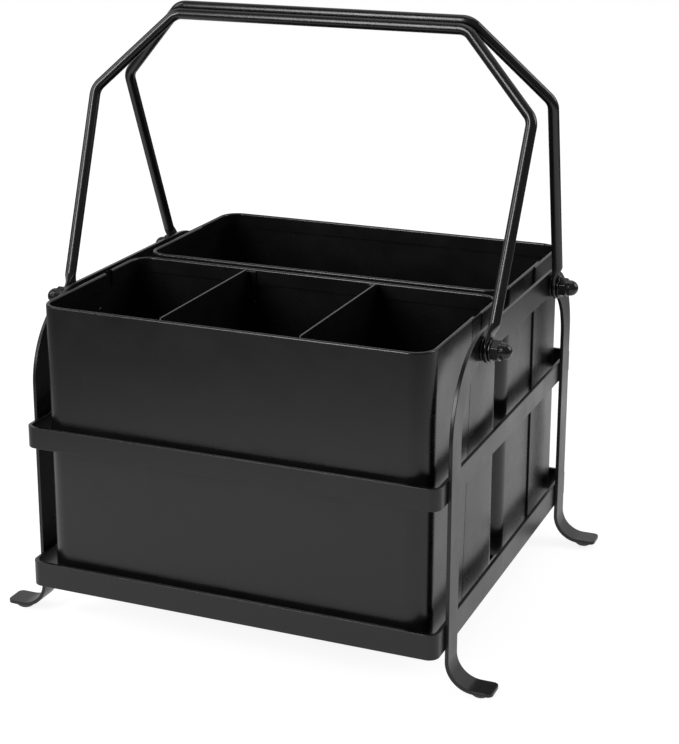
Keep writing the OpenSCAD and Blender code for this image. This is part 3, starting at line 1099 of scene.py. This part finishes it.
@dataclass
class Bin:
    """A lift-out bin: two shells of sheet lapped at the sides, hemmed at the rim and spot welded."""

    end: End
    front_y: float
    divided: bool
    seam_lean: float = 0.0
    seam_thin: float = 0.0
    seam_thin_l: float = 24.0
    width: float = 174.0
    depth: float = 88.5
    height: float = 123.4
    base_z: float = 21.1
    corner_r: float = 9.3
    sheet_t: float = 0.8
    hem_h: float = 7.0
    seam_y: float = 45.0
    lap: float = 10.0
    middle_w: float = 61.8
    flange_w: float = 4.7
    flange_drop: float = 1.0
    flange_corner_r: float = 0.8
    divider_bend: float = 1.5
    flange_steps: int = 5
    bend_steps: int = 8
    drop_steps: int = 4
    weld_d: float = 3.4
    weld_h: float = 0.16
    weld_shares: tuple[float, ...] = (0.13, 0.37, 0.62, 0.87)
    weld_sides: int = 24
    edge_steps: int = 3
    wall_steps: int = 4
    rim_steps: int = 6
    corner_steps: int = 14
    side_steps: int = 2
    end_steps: int = 3

    @property
    def body(self) -> str:
        """Name of the bin's body."""
        return f"{self.end.word}_bin"

    def section(self, hemmed: bool) -> np.ndarray:
        """Gives the section of a wall.

        Args:
            hemmed: False over the lap, where the outer sheet has no hem.

        Returns:
            The outline's table: distance out from the outer face and height; both kinds have as many rows.
        """
        t, e, top, hem = self.sheet_t, DATUM.edge_r, self.height, self.height - self.hem_h
        wall = Outline().arc((-e, e), e, 270, 360, self.edge_steps)
        wall.line((0, e), (0, top - t), (1, 0), self.wall_steps)
        wall.arc((-t, top - t), t, 0, 90, self.rim_steps)
        if hemmed:
            wall.arc((-t, top - t), t, 90, 180, self.rim_steps)
            wall.line((-2 * t, top - t), (-2 * t, hem + e), (-1, 0))
            wall.arc((e - 2 * t, hem + e), e, 180, 270, self.edge_steps)
            wall.line((e - 2 * t, hem), (-t, hem), (0, -1))
        else:
            # Spread so that there are as many rows as with a hem
            wall.line((-t, top), (-t, top - t), (-1, 0), self.rim_steps)
            wall.line((-t, top - t), (-t, hem + 4 * e), (-1, 0))
            wall.line((-t, hem + 4 * e), (-t, hem + 2 * e), (-1, 0), self.edge_steps)
            wall.line((-t, hem + 2 * e), (-t, hem), (-1, 0))
        wall.line((-t, hem), (-t, e), (-1, 0), self.wall_steps)
        wall.arc((e - t, e), e, 180, 270, self.edge_steps)
        return wall.table()

    def shell(self, half_w: float, reach: float, plain: float, lean: float, thin: float,
              rear: bool) -> np.ndarray:
        """Gives the rings of a U-shaped shell, from its right free edge round the end wall to its left one.

        Args:
            half_w: Half the width over its sides.
            reach: Length of its sides, from the end wall to the free edges.
            plain: Length at the free edges that has no hem.
            lean: How much further the free edges draw back at the rim than at the floor.
            thin: How much thinner the sheet is at the free edges; it tapers back to its full thickness.
            rear: True for a shell whose end wall is the bin's rear wall.

        Returns:
            The rings' points in the caddy.
        """
        r, e = self.corner_r, DATUM.edge_r
        hemmed, bare = self.section(True), self.section(False)
        rounding = np.linspace(QUARTER, 0, self.edge_steps + 1)
        stations = []
        first = bare if plain else hemmed
        for turn in rounding:
            inset = e * (1 - math.cos(turn)) * (1 - thin / self.sheet_t)
            rows = first.copy()
            rows[:, :2] -= rows[:, 2:] * inset
            stations.append(((half_w, reach - e + e * math.sin(turn), 1, 0), rows))
        if plain:
            stations.append(((half_w, reach - plain, 1, 0), bare))
        hem_y, full_y = reach - plain - (0 if plain else e), reach - self.seam_thin_l
        walls = Outline().line((half_w, hem_y), (half_w, full_y), (1, 0), self.side_steps)
        walls.line((half_w, full_y), (half_w, r), (1, 0), self.side_steps)
        walls.arc((half_w - r, r), r, 360, 270, self.corner_steps)
        walls.line((half_w - r, 0), (0, 0), (0, -1), self.end_steps)
        stations += [(row, hemmed) for row in walls.rows]
        rings = []
        for (x, y, fx, fy), rows in stations:
            taper = thin * max(0, 1 - (reach - y) / self.seam_thin_l)
            outer = rows[:, 0] - taper * rows[:, 2].clip(0)
            rings.append([(x + fx * a, y + fy * a, z) for a, z in zip(outer, rows[:, 1])])
        right = np.array(rings)
        # The free edge, the end of the hem and the step between their two sections lean together
        near_edge = right[:len(rounding) + 2]
        near_edge[..., 1] -= lean * near_edge[..., 2] / self.height
        both = np.concatenate((right, right[::-1] * (-1, 1, 1)))
        if rear:
            both = both * (1, -1, 1) + (0, self.depth, 0)
        return both + (0, self.front_y, self.base_z)

    def divider(self, side: Side) -> None:
        """Builds a divider: a sheet with a flange bent towards the middle at each end.

        Args:
            side: The side of the bin that it stands on.
        """
        t, bend_r = self.sheet_t, self.divider_bend * self.sheet_t
        # The flanges lie against the hem's two layers, and their bends' outer radius is two sheets
        inset = 4 * t
        flange = self.flange_w - 2 * t
        start = flange + bend_r * QUARTER
        half = start + self.depth / 2 - inset
        tall = self.height - t
        low, corner, step = tall - self.flange_drop, self.flange_corner_r, self.flange_drop / 2
        ends = (corner, flange, start, start + step, start + 2 * step, half)
        bottom = Outline().arc((corner, corner), corner, 180, 270, self.flange_steps)
        steps = (self.side_steps, self.bend_steps, self.drop_steps, self.drop_steps, self.end_steps)
        for first, last, count in zip(ends, ends[1:], steps):
            bottom.line((first, 0), (last, 0), (0, -1), count)
        top = Outline().arc((corner, low - corner), corner, 180, 90, self.flange_steps)
        top.line((corner, low), (flange, low), (0, 1), self.side_steps)
        top.line((flange, low), (start, low), (0, 1), self.bend_steps)
        top.arc((start, low + step), step, 270, 360, self.drop_steps, hollow=True)
        top.arc((start + 2 * step, low + step), step, 180, 90, self.drop_steps)
        top.line((start + 2 * step, tall), (half, tall), (0, 1), self.end_steps)
        s, z, n = np.moveaxis(strip_rings(bottom.mirrored(half), top.mirrored(half), t), -1, 0)
        mirrored = s > half
        s = np.where(mirrored, 2 * half - s, s)
        # n runs from the web's outer face inwards, so the bends' radii shrink with it
        angle = np.clip((s - flange) / bend_r, 0, QUARTER)
        radius = 2 * t - n
        x_out = self.middle_w / 2 + t / 2
        x = x_out - 2 * t + radius * np.sin(angle) - np.clip(flange - s, 0, None)
        y = inset - radius * np.cos(angle) + np.clip(s - start, 0, None)
        y = np.where(mirrored, self.depth - y, y)
        points = np.stack((side.value * x, y + self.front_y, z + self.base_z + t), axis=-1)
        sheet = skin(f"{side.word}_divider_sheet", points, SHEET_COAT)
        hand_over(sheet, self.body, "bin_coat", f"{side.word}_divider")

    @staticmethod
    @cache
    def weld_tree() -> NodeTree:
        """Makes the tree that puts a weld mark on each point, facing the way its attribute says.

        Returns:
            The tree.
        """
        tree, given = geometry_tree("Spot welds", Object="Mark")
        mark = add_node(tree, "GeometryNodeObjectInfo", {"Object": given["Mark"]})
        facing = add_node(tree, "GeometryNodeInputNamedAttribute", {"Name": "facing"},
                          data_type="FLOAT_VECTOR")
        turn = add_node(tree, "FunctionNodeAlignRotationToVector", {"Vector": facing}, axis="Z")
        marks = add_node(tree, "GeometryNodeInstanceOnPoints", {
            "Points": given["Geometry"], "Instance": mark.outputs["Geometry"], "Rotation": turn})
        finish_tree(tree, marks, given["Finish"])
        return tree

    def welds(self) -> None:
        """Builds the spot welds' marks on the inside: down each lap and down the dividers' flanges."""
        sheet, seam = self.sheet_t, self.seam_y + self.lap / 2
        inner_x = self.width / 2 - 2 * sheet
        spots = []
        for side in Side:
            for share in self.weld_shares:
                z = self.height * (1 - share)
                spots.append(((side.value * inner_x, seam, z), (-side.value, 0, 0)))
                if self.divided:
                    # The flanges' free faces lie three sheets in
                    x = side.value * (self.middle_w / 2 - self.flange_w / 2 - sheet / 2)
                    spots.append(((x, 3 * sheet, z), (0, 1, 0)))
                    spots.append(((x, self.depth - 3 * sheet, z), (0, -1, 0)))
        points = bpy.data.meshes.new("spots")
        move = np.array((0, self.front_y, self.base_z))
        points.from_pydata([tuple((np.array(place) + move) * MM) for place, _ in spots], [], [])
        facing = points.attributes.new("facing", "FLOAT_VECTOR", "POINT")
        facing.data.foreach_set("vector", np.array([way for _, way in spots], float).ravel())
        radius, tall = self.weld_d / 2, self.weld_h
        section = [(0, -tall), (radius, -tall), (radius, 0)]
        section += [(radius * out, tall * up) for out, up in WELD_MARK]
        mark = SetsOfFour(sides=self.weld_sides).turned("mark", np.array(section), SHEET_COAT)
        piece = grow(f"{self.body}_spot_welds", self.weld_tree(), SHEET_COAT, {"Mark": mark}, points)
        discard(mark)
        hand_over(piece, self.body, "bin_coat")

    def build(self, nodes: dict[str, Object]) -> None:
        """Builds the bin.

        Args:
            nodes: The CAD nodes by name; the bin's flat floor keeps its own.
        """
        half_w, seam = self.width / 2, self.seam_y
        shells = (("front", half_w - self.sheet_t, seam + self.lap, 0.0, 0.0, 0.0, False),
                  ("rear", half_w, self.depth - seam, self.lap, self.seam_lean, self.seam_thin, True))
        for which, *sizes in shells:
            sheet = skin(f"{self.body}_{which}_sheet", self.shell(*sizes), SHEET_COAT)
            hand_over(sheet, self.body, "bin_coat", f"{self.body}_{which}_shell")
        if self.divided:
            for side in Side:
                self.divider(side)
        self.welds()
        coat_node(nodes[f"{self.body}_floor"], SHEET_COAT)


# The studio

@dataclass(frozen=True)
class Softbox:
    """A soft lamp that faces the caddy."""

    name: str
    place: Point
    size: tuple[float, float]
    watts: float


@dataclass
class Studio:
    """Pale floor with a painted pool of light, white surroundings, soft lamps and the camera at the
    photograph's viewing angle.
    """

    image_w: int = 679
    image_h: int = 744
    focal_px: float = 1765.8
    centre_px: tuple[float, float] = (340.41, 286.74)
    eye_mm: Point = (296.23, -692.05, 351.36)
    right: Point = (0.92478, 0.38049, 0.00208)
    up: Point = (-0.10552, 0.25122, 0.96216)
    back: Point = (0.36557, -0.89001, 0.27247)
    nearest: float = 0.01
    floor_size: float = 8.0
    sensor: float = 36.0
    # Painted pool of light on the floor: its centre, its glow by distance in metres, and its strongest glow
    pool_at: Point = (0.06, 0.0, 0.0)
    pool_levels: tuple[tuple[float, float], ...] = (
        (0.0, 0.66), (0.2, 0.8), (0.33, 0.95), (0.46, 0.36), (0.62, 0.06), (1.2, 0.03),
    )
    pool_peak: float = 3.0
    paper_grey: float = 0.08
    seen_grey: float = 0.3
    seen_glow: float = 0.88
    sky_dim: float = 0.18
    sky_bright: float = 0.7
    sky_from: float = 0.3
    sky_to: float = 0.85
    backdrop_way: Point = (-0.2, 0.93, 0.3)
    target: Point = (0.0, 0.0, 0.12)
    softboxes: tuple[Softbox, ...] = (
        Softbox("front_strip", (-0.47, -1.25, 0.8), (0.33, 0.9), 12),
        Softbox("right_softbox", (1.3, 0.7, 0.9), (0.5, 0.9), 7),
        Softbox("left_softbox", (-1.1, -0.5, 0.9), (0.5, 0.9), 5),
        Softbox("top_softbox", (0.1, 0.3, 1.6), (1.0, 1.0), 3),
    )

    def camera(self) -> None:
        """Adds the camera, fitted to the photograph's lines."""
        data = bpy.data.cameras.new("camera")
        data.sensor_fit = "VERTICAL"
        data.sensor_height = self.sensor
        data.lens = self.focal_px * self.sensor / self.image_h
        data.shift_x = (self.image_w / 2 - self.centre_px[0]) / self.image_h
        data.shift_y = (self.centre_px[1] - self.image_h / 2) / self.image_h
        data.clip_start = self.nearest
        place = [v * MM for v in self.eye_mm]
        bpy.context.scene.camera = self.stand("camera", data, place, (self.right, self.up, self.back))

    def stand(self, name: str, data: bpy.types.ID, place: Sequence[float], axes: Sequence) -> Object:
        """Adds an object at a place, turned.

        Args:
            name: Its name.
            data: Its data.
            place: Where it stands, in metres.
            axes: The directions of its own X, Y and Z.

        Returns:
            The object.
        """
        made = new_object(name, data)
        made.matrix_world = Matrix.Translation(place) @ Matrix(axes).transposed().to_4x4()
        return made

    def split(self, tree: NodeTree, seen: Node, unseen: Node, output: str) -> None:
        """Ends a tree so that the camera meets one shader and everything else another.

        Args:
            tree: The tree.
            seen: The shader that the camera meets.
            unseen: The shader that everything else meets.
            output: Type name of the tree's output node.
        """
        ray = add_node(tree, "ShaderNodeLightPath").outputs["Is Camera Ray"]
        mix = add_node(tree, "ShaderNodeMixShader", {0: ray, 1: unseen, 2: seen})
        add_node(tree, output, {"Surface": mix})

    def floor(self) -> None:
        """Adds the floor: white to the camera, and to all else grey paper under a painted pool of light that
        glows round the caddy.
        """
        half = self.floor_size / 2
        data = bpy.data.meshes.new("floor")
        corners = [(-half, -half, 0), (half, -half, 0), (half, half, 0), (-half, half, 0)]
        data.from_pydata(corners, [], [(0, 1, 2, 3)])
        floor = new_object("floor", data)
        paper = bpy.data.materials.new("white background paper")
        paper.use_nodes = True
        tree = paper.node_tree
        tree.nodes.clear()
        place = add_node(tree, "ShaderNodeTexCoord").outputs["Object"]
        # Painted pool of light: the paper glows by itself, brightest near the caddy and fainter further off,
        # where no lamp shines
        away = add_node(tree, "ShaderNodeVectorMath", {0: place, 1: self.pool_at}, operation="DISTANCE")
        reach = self.pool_levels[-1][0]
        share = add_node(tree, "ShaderNodeMath", {0: away.outputs["Value"], 1: reach}, operation="DIVIDE")
        pool = add_node(tree, "ShaderNodeValToRGB", {0: share})
        stops = pool.color_ramp.elements
        while len(stops) < len(self.pool_levels):
            stops.new(1.0)
        for stop, (distance, level) in zip(stops, self.pool_levels):
            stop.position = distance / reach
            stop.color = grey(level / self.pool_peak)
        # The glow that paints the pool of light onto the paper
        light = add_node(tree, "ShaderNodeEmission", {"Color": pool, "Strength": self.pool_peak})
        dull = add_node(tree, "ShaderNodeBsdfDiffuse", {"Color": grey(self.paper_grey)})
        lit = add_node(tree, "ShaderNodeAddShader", {0: dull, 1: light})
        pale = add_node(tree, "ShaderNodeBsdfDiffuse", {"Color": grey(self.seen_grey)})
        glow = add_node(tree, "ShaderNodeEmission", {"Strength": self.seen_glow})
        bright = add_node(tree, "ShaderNodeAddShader", {0: pale, 1: glow})
        self.split(tree, bright, lit, "ShaderNodeOutputMaterial")
        data.materials.append(paper)

    def world(self) -> None:
        """Sets the surroundings: white to the camera, and a low backdrop in a dim room to all else."""
        world = bpy.data.worlds.new("studio")
        bpy.context.scene.world = world
        world.use_nodes = True
        tree = world.node_tree
        tree.nodes.clear()
        way = add_node(tree, "ShaderNodeTexCoord").outputs["Generated"]
        behind = add_node(tree, "ShaderNodeVectorMath", {0: way, 1: self.backdrop_way},
                          operation="DOT_PRODUCT")
        level = add_node(tree, "ShaderNodeMapRange", {
            "Value": behind.outputs["Value"], "From Min": self.sky_from, "From Max": self.sky_to,
            "To Min": self.sky_dim, "To Max": self.sky_bright}, interpolation_type="SMOOTHSTEP")
        around = add_node(tree, "ShaderNodeBackground", {"Color": grey(1), "Strength": level})
        white = add_node(tree, "ShaderNodeBackground", {"Color": grey(1), "Strength": 1.0})
        self.split(tree, white, around, "ShaderNodeOutputWorld")

    def lamp(self, box: Softbox) -> None:
        """Adds a softbox that faces the caddy.

        Args:
            box: The softbox.
        """
        data = bpy.data.lights.new(box.name, "AREA")
        data.shape = "RECTANGLE"
        data.size, data.size_y = box.size
        data.energy = box.watts
        back = np.array(box.place) - self.target
        back = back / np.linalg.norm(back)
        right = np.cross((0, 0, 1), back)
        right = right / np.linalg.norm(right)
        self.stand(box.name, data, box.place, (right, np.cross(back, right), back))

    def build(self) -> None:
        """Sets up the whole studio."""
        bpy.context.scene.view_settings.view_transform = "Standard"
        self.camera()
        self.floor()
        self.world()
        for box in self.softboxes:
            self.lamp(box)


def main() -> None:
    """Builds the caddy's looks round its frame and sets the studio round it."""
    logging.basicConfig(level=logging.INFO, format="%(name)s: %(message)s")
    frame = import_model()
    nodes = frame["nodes"]
    SideFrames().build()
    Bands().build()
    SetsOfFour().build()
    coat_node(nodes["pivot_bolts"], FASTENER_COAT)
    Handle(End.FRONT, lean=23.3958).build()
    Handle(End.REAR, lean=19.8287).build()
    Bin(End.FRONT, front_y=-91.2, divided=True, seam_lean=6.5, seam_thin=0.72).build(nodes)
    Bin(End.REAR, front_y=2.7, divided=False).build(nodes)
    Studio().build()


if __name__ == "__main__":
    main()
